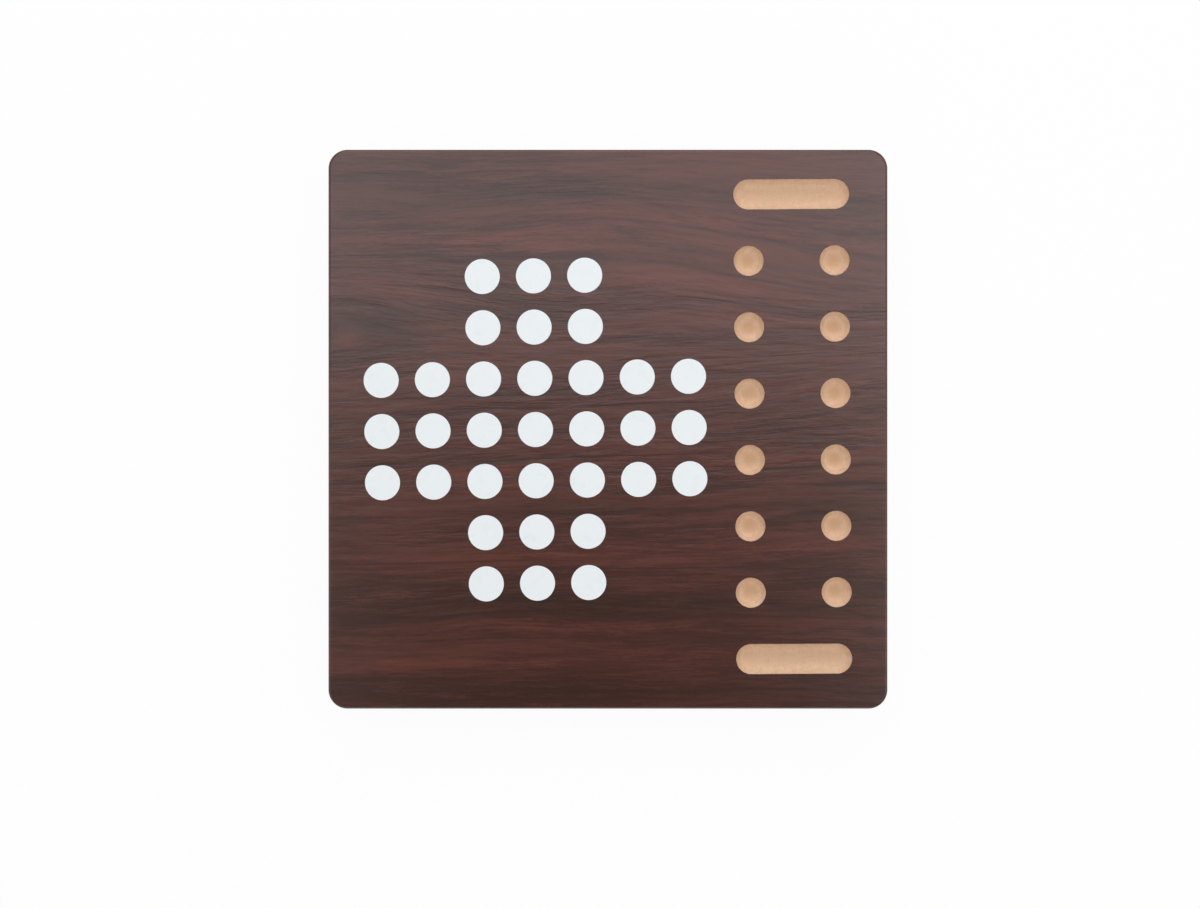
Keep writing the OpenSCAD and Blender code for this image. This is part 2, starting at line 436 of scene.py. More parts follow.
LID_VEINS_AND_PAINTED_LIGHT = (
    (20, 108.5, 120, 0.77, 0.62), (-70, 104, 60, 0.55, 0.44), (-60, 89, 85, 0.99, 0.69),
    (25, 87, 40, 0.88, 0.62), (80, 79, 45, 0.77, 0.56), (75, 66.5, 65, 0.88, 0.81),
    (-90, 72, 50, 0.77, 0.62), (-40, 62, 30, 0.77, 0.50), (95, 40, 45, 0.66, 0.50),
    (-45, 17.5, 60, 0.77, 0.62), (5, 12.5, 75, 0.88, 0.69), (-90, 9, 50, 0.55, 0.44),
    (100, 1, 45, 0.55, 0.44), (60, -6, 50, 0.55, 0.44), (-20, -16.5, 90, 0.77, 0.69),
    (100, -19, 50, 0.77, 0.75), (128, -27, 18, 1.54, 0.81), (108, -43, 12, 1.65, 0.75),
    (20, -43, 90, 1.43, 0.44), (-110, -47, 40, 0.66, 0.50), (-65, -70, 55, 0.66, 0.56),
    (50, -73, 70, 0.66, 0.56), (105, -80, 45, 0.66, 0.56), (-10, -100, 115, 0.99, 0.75),
    (-88, -92, 28, 0.77, 0.56), (-60, -109, 50, 0.55, 0.44), (-105, -131, 50, 0.77, 0.62),
    (40, -139, 70, 0.88, 0.50), (-121, 54, 20, 7, 0.42), (-139, 45, 7, 1.8, -0.80),
    # Painted shade and painted sheen: the last two marks on the next row darken the front and lighten the
    # back, following the sheen's fall from back to front.
    (-147, 52, 7, 2, 0.60), (0, -150, 400, 95, 0.28), (0, 150, 400, 80, -0.20),
    # Painted shade: (35, 0, 42, 200, 0.12) on the next row darkens a broad band down the middle, in place of
    # a weaker sheen there.
    (-65, 10, 55, 120, -0.14), (0, -20, 300, 18, -0.16), (35, 0, 42, 200, 0.12),
    # Painted sheen: (150, 0, 22, 200, -0.16) on the next row makes a pale strip along the right edge.
    (0, 100, 300, 18, -0.05), (150, 0, 22, 200, -0.16), (-148, 0, 1.6, 400, -0.45),
    # Painted highlights: (-148, 0, 1.6, 400, -0.45) on the row above and (148, 0, 1.6, 400, -0.20) below make
    # thin pale lines along the left and right edges.
    (148, 0, 1.6, 400, -0.20),
)
LID_FIGURE = Figure(*(tuple(Mark(*row) for row in rows) for rows in (LID_SWELLS, LID_TINTS_AND_PAINTED_SHADE, LID_VEINS_AND_PAINTED_LIGHT)))


@dataclass(frozen=True)
class WalnutFoil(Finish):
    """PVC foil with a printed dark walnut grain, pressed on hot.

    It is satin: a soft sheen lies over the print where it faces the light, and the pressed grain
    breaks it up. The print has red and grey bands some 10 mm wide, dark lines of 0.7 to 6 mm that
    gather in places and break off after a few centimetres, and long dark streaks that follow the figure.
    On the lid, some of the figure's broad patches are painted shade, painted sheen and painted highlights.
    """

    grain: Grain = Grain.ALONG_X
    figure: Figure = Figure()
    umber: str = "#47271c"
    russet: str = "#5f3127"
    redness: float = 0.42
    lightest: float = 1.2
    shade: float = 0.62
    grain_deep: float = 0.026
    waviness: float = 0.14

    def place_on_print(self, g: ShaderGraph) -> Socket:
        """Adds the place on the print: along the grain, across it and into the piece, in millimetres.

        Args:
            g: The tree.

        Returns:
            The place.
        """
        if self.grain is Grain.OVER_LID:
            return g.millimetres(stored="lay")
        at = g.millimetres()
        if self.grain is Grain.ALONG_X:
            return at
        x, y, z = g.add("SeparateXYZ", [at]).node.outputs
        return g.add("CombineXYZ", [y, x, z])

    def patches(
        self, g: ShaderGraph, at: Socket, marks: Sequence[Mark], total: float, bent: bool = True
    ) -> Socket | float:
        """Adds up soft patches.

        Args:
            g: The tree.
            at: The place on the print.
            marks: The patches.
            total: What they are added to.
            bent: Whether the swells have bent the place already.

        Returns:
            The sum.
        """
        for mark in marks:
            level = self.figure.level(mark) if bent else mark.y
            shrink = (1 / mark.along, 1 / mark.across, 0.0)
            centre = (-mark.x / mark.along, -level / mark.across, 0.0)
            away = g.add("VectorMath MULTIPLY_ADD", [at, shrink, centre])
            square = g.add("VectorMath DOT_PRODUCT", [away, away])
            fade = g.add("Math POWER", [1 / math.e, square])
            total = g.add("Math MULTIPLY_ADD", [fade, mark.amount, total])
        return total

    def stir(
        self, g: ShaderGraph, at: Socket, total: Socket | float, *noises: tuple[Size, float, float]
    ) -> Socket:
        """Adds soft noise, centred on nought, to a value.

        Args:
            g: The tree.
            at: The place on the print.
            total: The value.
            noises: The size of each noise's patches, its weight and its seed.

        Returns:
            The sum.
        """
        for size, weight, seed in noises:
            centred = g.add("Math SUBTRACT", [g.pattern(at, size, 1.0, seed), 0.5])
            total = g.add("Math MULTIPLY_ADD", [centred, weight, total])
        return total

    def bend(self, g: ShaderGraph, at: Socket) -> Socket:
        """Bends the place on the print, so that the grain wanders and follows the figure.

        Args:
            g: The tree.
            at: The place on the print.

        Returns:
            The bent place.
        """
        lift = self.patches(g, at, self.figure.swells, 0.0, bent=False)
        wander = ((180, 70, 70), 10.0, 1.0), ((60, 24, 24), 2.6, 2.0), ((18, 7, 7), 0.7, 3.0)
        up = g.add("CombineXYZ", {1: self.stir(g, at, lift, *wander)})
        return g.add("VectorMath SUBTRACT", [at, up])

    def surface(self, g: ShaderGraph) -> Socket:
        """Adds the print, its pores and the foil's sheen."""
        at = self.bend(g, self.place_on_print(g))
        red = self.patches(g, at, self.figure.tints_and_painted_shade, self.redness)
        red = self.stir(g, at, red, ((240, 13, 13), 0.9, 11.0), ((110, 4, 4), 0.6, 12.0))
        red = g.add("MapRange", [red, 0.0, 1.0, 0.0, 1.0])
        brown = g.coats(self.umber, (red, self.russet))
        lines = 0.0
        for size, low, high, weight, seed in (
            ((70, 6.0, 6.0), 0.38, 0.68, 0.40, 19.0),
            ((44, 3.2, 3.2), 0.40, 0.68, 0.50, 20.0),
            ((24, 1.7, 1.7), 0.42, 0.68, 0.52, 21.0),
            ((12, 1.0, 1.0), 0.44, 0.68, 0.39, 22.0),
            ((4, 0.7, 0.7), 0.44, 0.68, 0.32, 23.0),
        ):
            line = g.pattern(at, size, 1.0, seed, (low, high, weight))
            lines = g.add("Math ADD", [line, lines])
        gather = g.pattern(at, (150, 16, 16), 1.0, 13.0)
        gather = g.add("MapRange", [gather, 0.36, 0.64, 0.45, 1.25])
        veins_and_painted_light = self.patches(g, at, self.figure.veins_and_painted_light, 0.0)
        dark = g.add("Math MULTIPLY_ADD", [lines, gather, veins_and_painted_light])
        keep = g.add("MapRange", [dark, 0.0, 1.0, self.lightest, self.lightest - self.shade])
        colour = g.add("VectorMath SCALE", {0: brown, "Scale": keep})
        wave = g.pattern(at, (26, 5, 5), 1.0, 14.0)
        wave = g.add("Math MULTIPLY", [wave, self.waviness])
        height = g.add("Math MULTIPLY_ADD", [dark, -self.grain_deep, wave])
        return g.shader(colour, {"Roughness": 0.25, "IOR": 1.5}, height)


@dataclass(frozen=True)
class RawFibreboard(Finish):
    """Medium-density fibreboard as the cutter leaves it: tan, matt and a little woolly.

    The fibres show as flecks under a millimetre long. The cutter rubs the bottom of a cut darker,
    most of all where it plunges, and leaves faint rings, one of them clear. Lengths are in millimetres.
    """

    body: str = "#dfb897"
    fleck: str = "#c29976"
    pale: str = "#e8c9ac"
    rubbed: str = "#caa684"
    speck: str = "#8a6549"
    flat_r: float = 1.2
    rubbed_r: float = 6.2
    ring_r: float = 6.1
    ring_w: float = 0.3
    ring_rub: float = 0.45
    feed: float = 0.5
    feed_deep: float = 0.12

    def surface(self, g: ShaderGraph) -> Socket:
        """Adds the flecks, the mottling and the cutter's marks."""
        at = g.millimetres()
        mottle = g.pattern(at, (3.0, 3.0, 3.0), 3.0, 31.0, (0.3, 0.7, 1.0))
        fleck = g.pattern(at, (0.9, 0.45, 0.45), 2.0, 32.0, (0.52, 0.72, 0.6))
        speck = g.pattern(at, (0.7, 0.35, 0.35), 0.0, 33.0, (0.76, 0.84, 0.6))
        lay = g.add("Attribute", attribute_name="lay").node.outputs["Vector"]
        radius, _, plunge = g.add("SeparateXYZ", [lay]).node.outputs
        bottom = [radius, self.flat_r, self.rubbed_r, 1.0, 0.0]
        rub = g.add("MapRange", bottom, interpolation_type="SMOOTHSTEP")
        off = g.add("Math SUBTRACT", [radius, self.ring_r])
        off = g.add("Math ABSOLUTE", [off])
        ring = g.add("MapRange", [off, 0.0, self.ring_w, self.ring_rub, 0.0])
        rub = g.add("Math MAXIMUM", [rub, ring])
        rub = g.add("Math MULTIPLY", [rub, plunge])
        coats = (mottle, self.pale), (fleck, self.fleck), (rub, self.rubbed), (speck, self.speck)
        turns = g.add("Math MULTIPLY", [radius, 2 * math.pi / self.feed])
        rings = g.add("Math SINE", [turns])
        height = g.add("Math MULTIPLY_ADD", [rings, self.feed_deep, fleck])
        gloss = {"Roughness": 0.9, "IOR": 1.4}
        return g.shader(g.coats(self.body, *coats), gloss, height, 0.5, 0.12)


@dataclass(frozen=True)
class ScreenInk(Finish):
    """White ink laid on through a screen: flat, even and nearly matt."""

    body: str = "#eff4f5"
    thin: str = "#e4eaed"

    def surface(self, g: ShaderGraph) -> Socket:
        """Adds the ink, where it lies a little thinner, and the screen's faint marks."""
        at = g.millimetres()
        lay = g.pattern(at, (5.0, 5.0, 5.0), 3.0, 41.0, (0.55, 0.8, 0.6))
        marks = g.pattern(at, (0.3, 0.3, 0.3), 0.0, 42.0)
        colour = g.coats(self.body, (lay, self.thin))
        return g.shader(colour, {"Roughness": 0.55, "IOR": 1.5}, marks, 0.2, 0.02)


@dataclass(frozen=True)
class BackingPaper(Finish):
    """Resin-soaked brown paper that balances the board: smooth, with a faint fibre."""

    body: str = "#40302a"
    fibre: str = "#54423a"

    def surface(self, g: ShaderGraph) -> Socket:
        """Adds the paper and its fibres."""
        fibre = g.pattern(g.millimetres(), (4.0, 1.2, 1.2), 3.0, 51.0, (0.4, 0.7, 1.0))
        return g.shader(g.coats(self.body, (fibre, self.fibre)), {"Roughness": 0.6, "IOR": 1.45})


@dataclass(frozen=True)
class Hardboard(Finish):
    """Dense brown hardboard with a pressed face and a darker, speckled body.

    Its rough side carries the print of the wire mesh that it was pressed on, as small dents below
    a given height. Lengths are in millimetres.
    """

    body: str = "#7d573e"
    fleck: str = "#573925"
    mesh_pitch: float = 1.3
    mesh_below: float = 0.0

    def surface(self, g: ShaderGraph) -> Socket:
        """Adds the speckle, the pressed face's slight orange peel and the mesh's dents."""
        at = g.millimetres()
        cloud = g.pattern(at, (18.0, 18.0, 18.0), 3.0, 61.0)
        fleck = g.pattern(at, (1.4, 0.7, 0.7), 3.0, 62.0)
        mixed = g.add("Math MULTIPLY_ADD", [cloud, 0.6, fleck])
        mixed = g.add("MapRange", [mixed, 0.6, 1.05, 0.0, 1.0])
        x, y, z = g.add("SeparateXYZ", [at]).node.outputs
        dent = 1.0
        for axis in (x, y):
            phase = g.add("Math MULTIPLY", [axis, math.pi / self.mesh_pitch])
            wire = g.add("Math SINE", [phase])
            dent = g.add("Math MULTIPLY", [wire, dent])
        dent = g.add("Math ABSOLUTE", [dent])
        rough_side = g.add("Math LESS_THAN", [z, self.mesh_below])
        dent = g.add("Math MULTIPLY", [dent, rough_side])
        mixed = g.add("Math MULTIPLY_ADD", [dent, 0.45, mixed])
        height = g.add("Math MULTIPLY_ADD", [dent, -3.0, fleck])
        colour = g.coats(self.body, (mixed, self.fleck))
        return g.shader(colour, {"Roughness": 0.55, "IOR": 1.45}, height, 0.4, 0.08)


@dataclass(frozen=True)
class BirchPlywood(Finish):
    """Thin birch plywood: a pale, finely streaked face, and stripes of ply along its edges."""

    middle_x: float = 0.0
    ply: float = 1.35
    ply_blur: float = 0.08
    face: str = "#d8b88c"
    streak: str = "#c49f70"
    core: str = "#a67c50"

    def surface(self, g: ShaderGraph) -> Socket:
        """Adds the face grain, and the inner ply that shows on the edges."""
        at = g.millimetres()
        grain = g.pattern(at, (1.2, 60.0, 6.0), 3.0, 71.0, (0.35, 0.7, 1.0))
        x = g.add("SeparateXYZ", [at])
        off = g.add("Math SUBTRACT", [x, self.middle_x / MM])
        off = g.add("Math ABSOLUTE", [off])
        inner = g.add("MapRange", [off, self.ply / 2, self.ply / 2 + self.ply_blur, 0.8, 0.0])
        colour = g.coats(self.face, (grain, self.streak), (inner, self.core))
        return g.shader(colour, {"Roughness": 0.6, "IOR": 1.45}, grain, 0.2, 0.05)


@dataclass(frozen=True)
class WoolFelt(Finish):
    """Pressed wool felt: matt, with fibres lying every way and a soft bloom at a low angle."""

    body: str = "#1d4132"
    cloud: str = "#26503d"
    fibre: str = "#3a6b55"
    ways: int = 4

    def surface(self, g: ShaderGraph) -> Socket:
        """Adds the clouding, the fibres that lie four ways and the bloom."""
        at = g.millimetres()
        cloud = g.pattern(at, (6.0, 6.0, 6.0), 3.0, 83.0, (0.35, 0.65, 1.0))
        mixed = 0.0
        for way in range(self.ways):
            turned = g.add("VectorRotate", {"Vector": at, "Angle": way * math.pi / self.ways})
            fibre = g.pattern(turned, (1.5, 0.16, 0.5), 1.0, 84.0 + way)
            mixed = g.add("Math MAXIMUM", [fibre, mixed])
        mixed = g.add("MapRange", [mixed, 0.55, 0.78, 0.0, 1.0])
        colour = g.coats(self.body, (cloud, self.cloud), (mixed, self.fibre))
        gloss = {"Roughness": 1.0, "Specular IOR Level": 0.1, "Sheen Weight": 0.4, "Sheen Roughness": 0.5}
        return g.shader(colour, gloss, mixed, 0.5, 0.1)


@dataclass(frozen=True)
class MouldedRubber(Finish):
    """Black moulded rubber, matt, with a fine spark-eroded texture from the mould."""

    body: str = "#1d1d1e"
    dust: str = "#3a3a3b"

    def surface(self, g: ShaderGraph) -> Socket:
        """Adds the rubber and its mould texture."""
        spark = g.pattern(g.millimetres(), (0.35, 0.35, 0.35), 2.0, 91.0)
        dust = g.add("MapRange", [spark, 0.3, 0.8, 0.0, 0.3])
        colour = g.coats(self.body, (dust, self.dust))
        return g.shader(colour, {"Roughness": 0.7, "IOR": 1.5}, spark, 0.3, 0.05)


@dataclass(frozen=True)
class TurnedBeech(Finish):
    """Turned beech under a thin satin lacquer, with beech's short dark ray flecks."""

    body: str = "#cf9f6d"
    late: str = "#b27f50"
    fleck: str = "#7e5231"

    def surface(self, g: ShaderGraph) -> Socket:
        """Adds the growth lines, the flecks, which lie a little deeper, and the lacquer."""
        at = g.millimetres(stored="grain")
        lines = g.pattern(at, (40.0, 1.6, 5.0), 2.0, 101.0, (0.35, 0.68, 1.0))
        fleck = g.pattern(at, (1.8, 0.22, 0.8), 0.0, 102.0, (0.62, 0.72, 0.7))
        sunk = g.add("Math MULTIPLY", [fleck, -1.0])
        colour = g.coats(self.body, (lines, self.late), (fleck, self.fleck))
        gloss = {"Roughness": 0.45, "IOR": 1.5, "Coat Weight": 0.3, "Coat Roughness": 0.25}
        return g.shader(colour, gloss, sunk, 0.15, 0.05)


@dataclass(frozen=True)
class RiverPebble(Finish):
    """Tumble-polished river pebbles, each of its own colour, finely speckled."""

    colours: tuple[str, ...] = ("#4c5459", "#8a867e", "#b3a187", "#cfc6b6", "#6f7a6b", "#e2ddd2", "#9c6a52")
    speck: str = "#3a3a38"

    def surface(self, g: ShaderGraph) -> Socket:
        """Adds each pebble's own colour and its speckle."""
        tone = g.add("Attribute", attribute_name="tone").node.outputs["Fac"]
        own = g.add("ValToRGB", [tone])
        ramp = own.node.color_ramp
        ramp.interpolation = "CONSTANT"
        for _ in self.colours[2:]:
            ramp.elements.new(0.5)
        for i, (element, code) in enumerate(zip(ramp.elements, self.colours)):
            element.position = i / len(self.colours)
            element.color = linear(code)
        speck = g.pattern(g.millimetres(), (0.5, 0.5, 0.5), 2.0, 111.0, (0.45, 0.75, 0.4))
        return g.shader(g.coats(own, (speck, self.speck)), {"Roughness": 0.28, "IOR": 1.54})


@dataclass(frozen=True)
class StudioWhite(Finish):
    """The floor's or the backdrop's white, seen from its front only, which keeps the object's shadow."""

    own_light: float = 1.0

    def surface(self, g: ShaderGraph) -> Socket:
        """Adds white paper, which is partly its own light where the camera or a reflection sees it."""
        rays = g.add("LightPath").node.outputs
        seen = g.add("Math ADD", [rays["Is Camera Ray"], rays["Is Glossy Ray"]])
        seen = g.add("Math ADD", [seen, rays["Is Transmission Ray"]])
        glow = g.add("Math MULTIPLY", [seen, self.own_light], use_clamp=True)
        paper = g.add("BsdfDiffuse", {"Color": (0.9, 0.9, 0.9, 1.0)})
        light = g.add("Emission", {"Color": WHITE, "Strength": 1.0})
        back = g.add("NewGeometry").node.outputs["Backfacing"]
        front = g.add("MixShader", [glow, paper, light])
        return g.add("MixShader", [back, front, g.add("BsdfTransparent")])


class Recipe:
    """A geometry-node tree with named inputs, which is run on a host mesh.

    A fibre bends through two points, given as shares of its length, and is at least as large as
    the smallest share of its full size.
    """

    KINDS = {
        float: "NodeSocketFloat", int: "NodeSocketInt",
        bpy.types.Material: "NodeSocketMaterial", bpy.types.Object: "NodeSocketObject",
    }
    BEND = ((0.5, 0.16, 0.10), (1.0, 0.0, 0.04))
    SMALLEST = 0.4

    def __init__(self, name: str, **given: float | int | bpy.types.ID) -> None:
        """Makes the tree and its inputs.

        Args:
            name: The tree's name.
            given: The sizes, the seed, the objects and the materials that it uses, by name.
        """
        self.tree = bpy.data.node_groups.new(name, "GeometryNodeTree")
        self.values = {}
        face = self.tree.interface
        face.new_socket("Geometry", in_out="OUTPUT", socket_type="NodeSocketGeometry")
        face.new_socket("Host", in_out="INPUT", socket_type="NodeSocketGeometry")
        for key, value in given.items():
            socket = face.new_socket(key, in_out="INPUT", socket_type=self.KINDS[type(value)])
            self.values[socket.identifier] = value
        self.graph = Graph(self.tree)
        self.given = self.graph.add("NodeGroupInput").node.outputs

    def scatter(self, points: Socket, thing: Socket, low: Size, high: Size, scale: Size | Socket) -> Socket:
        """Lays a copy of a thing at each point, turned at random.

        Args:
            points: The points.
            thing: What is copied.
            low: The least turn about each axis, in radians.
            high: The greatest turn.
            scale: How much larger the copy is along each axis.

        Returns:
            The copies.
        """
        g, draw = self.graph, {0: low, 1: high, "Seed": self.given["Seed"]}
        turn = g.add("FunctionNodeRandomValue", draw, data_type="FLOAT_VECTOR")
        inputs = {"Points": points, "Instance": thing, "Rotation": turn, "Scale": scale}
        return g.add("GeometryNodeInstanceOnPoints", inputs)

    def strew(self, points: Socket, tilt: float) -> Socket:
        """Lays a short bent fibre at each point, of the recipe's Length and Thickness or smaller.

        Args:
            points: Where the fibres lie.
            tilt: How far a fibre may rise, in radians.

        Returns:
            The fibres.
        """
        g, given = self.graph, self.given
        bow, tip = (g.add("VectorMath SCALE", {0: share, "Scale": given["Length"]}) for share in self.BEND)
        curve = {"Resolution": 3, "Start": (0.0, 0.0, 0.0), "Middle": bow, "End": tip}
        line = g.add("GeometryNodeCurveQuadraticBezier", curve)
        radius = g.add("Math MULTIPLY", [given["Thickness"], 0.5])
        ring = g.add("GeometryNodeCurvePrimitiveCircle", {"Resolution": 3, "Radius": radius})
        tube = {"Curve": line, "Profile Curve": ring, "Fill Caps": True}
        strand = g.add("GeometryNodeCurveToMesh", tube)
        draw = {2: self.SMALLEST, 3: 1.0, "Seed": given["Seed"]}
        size = g.add("FunctionNodeRandomValue", draw, data_type="FLOAT")
        return self.scatter(points, strand, (-math.pi, -tilt, -math.pi), (math.pi, tilt, math.pi), size)

    def roughen(self, shape: Socket, noise: Socket, middle: float, reach: Socket, axes: Size) -> Socket:
        """Makes a shape real and moves its surface out and in by a noise.

        Args:
            shape: The shape.
            noise: The noise.
            middle: The noise that moves nothing.
            reach: How far a noise of one moves the surface.
            axes: How much of the move is kept along each axis.

        Returns:
            The roughened shape.
        """
        g = self.graph
        real = g.add("GeometryNodeRealizeInstances", [shape])
        centred = g.add("Math SUBTRACT", [noise, middle])
        amount = g.add("Math MULTIPLY", [centred, reach])
        normal = g.add("VectorMath MULTIPLY", [g.add("GeometryNodeInputNormal"), axes])
        offset = g.add("VectorMath SCALE", {0: normal, "Scale": amount})
        return g.add("GeometryNodeSetPosition", {"Geometry": real, "Offset": offset})

    def run(self, host: bpy.types.Mesh, geometry: Socket, material: Socket) -> bpy.types.Mesh:
        """Ends the tree with real, dressed geometry, and runs it on a host mesh.

        Args:
            host: The mesh that the tree starts from.
            geometry: What the tree made.
            material: What it is made of.

        Returns:
            The result, as a plain mesh.
        """
        real = self.graph.add("GeometryNodeRealizeInstances", [geometry])
        dressed = self.graph.add("GeometryNodeSetMaterial", {"Geometry": real, "Material": material})
        self.graph.add("NodeGroupOutput", [dressed])
        carrier = place(self.tree.name, host)
        modifier = carrier.modifiers.new("recipe", "NODES")
        modifier.node_group = self.tree
        for identifier, value in self.values.items():
            modifier[identifier] = value
        depsgraph = bpy.context.evaluated_depsgraph_get()
        made = bpy.data.meshes.new_from_object(carrier.evaluated_get(depsgraph), depsgraph=depsgraph)
        carrier.modifiers.clear()
        bpy.data.objects.remove(carrier)
        return made


class Solids:
    """The separate solids of a node, which are all alike."""

    def __init__(self, node: str) -> None:
        """Finds the middle of each solid's box.

        Args:
            node: The node's name.
        """
        self.low, self.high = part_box(node)
        self.thick = self.high.z - self.low.z
        bm = bmesh.new()
        bm.from_mesh(frame["nodes"][node].data)
        bmesh.ops.remove_doubles(bm, verts=bm.verts, dist=0.001 * MM)
        left = set(bm.verts)
        middles = []
        while left:
            stack = [left.pop()]
            group = list(stack)
            while stack:
                fresh = {vert for edge in stack.pop().link_edges for vert in edge.verts} & left
                left -= fresh
                stack += fresh
                group += fresh
            low = Vector(min(v.co[i] for v in group) for i in range(3))
            high = Vector(max(v.co[i] for v in group) for i in range(3))
            middles.append((low + high) / 2)
        bm.free()
        self.middles = sorted(middles, key=lambda p: (round(p.y, 5), round(p.x, 5)))

    def width(self, axis: int) -> float:
        """Works out one solid's width from the node's box and the outermost solids' middles."""
        across = [p[axis] for p in self.middles]
        return (self.high[axis] - self.low[axis]) - (max(across) - min(across))

    def feet(self, name: str) -> bpy.types.Mesh:
        """Makes a mesh of loose points, one under each solid."""
        return plain_mesh(name, [(p.x, p.y, self.low.z) for p in self.middles])


class Assembly:
    """A sub-assembly, whose pieces ride on one body."""

    body = "box"

    def add(self, name: str, mesh: bpy.types.Mesh, finish: Finish, *nodes: str) -> bpy.types.Object:
        """Adds a piece that rides on the body and stands for its nodes.

        Args:
            name: The piece's name.
            mesh: Its shape, in the frame's place.
            finish: What it is made of.
            nodes: The nodes that it stands for.

        Returns:
            The piece.
        """
        piece = show(name, mesh, finish)
        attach(piece, self.body)
        if nodes:
            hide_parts(*nodes)
        return piece


def arc(middle: Vector, radius: float, start: float, turn: float, at: Sequence[float]) -> list[Vector]:
    """Gives points on an arc, seen from above.

    Args:
        middle: The arc's middle.
        radius: Its radius.
        start: The angle where it starts, in radians.
        turn: How far it turns.
        at: Where the points lie, as shares of the turn.

    Returns:
        The points.
    """
    angles = [start + turn * share for share in at]
    return [middle + radius * Vector((math.cos(angle), math.sin(angle))) for angle in angles]


def rounded_plan(width: float, depth: float, radius: float, steps: int = 16) -> list[Vector]:
    """Gives a rectangle's outline with round corners, seen from above.

    Args:
        width: The rectangle's size from left to right.
        depth: Its size from front to back.
        radius: The corners' radius.
        steps: Stretches in each corner.

    Returns:
        The outline's points, anticlockwise.
    """
    points = []
    for corner, (right, back) in enumerate(((1, 1), (-1, 1), (-1, -1), (1, -1))):
        middle = Vector((right * (width / 2 - radius), back * (depth / 2 - radius)))
        shares = [i / steps for i in range(steps + 1)]
        points += arc(middle, radius, corner * math.pi / 2, math.pi / 2, shares)
    return points


@dataclass
class Cove:
    """One pit or store: the cutter plunges at one end and comes up at the other."""

    start: Vector
    end: Vector

    def is_round(self) -> bool:
        """Tells a pit, where the cutter only plunges, from a store."""
        return (self.end - self.start).length < MM

    def outline(self, radius: float, steps: int = 40) -> list[Vector]:
        """Gives the cove's outline at some height.

        Args:
            radius: The cutter's radius there.
            steps: Stretches in each half turn.

        Returns:
            The outline's points, anticlockwise.
        """
        run = self.end - self.start
        heading = 0.0 if self.is_round() else math.atan2(run.y, run.x)
        shares = [(i + 0.5) / steps for i in range(steps)]
        far = arc(self.end, radius, heading - math.pi / 2, math.pi, shares)
        return far + arc(self.start, radius, heading + math.pi / 2, math.pi, shares)


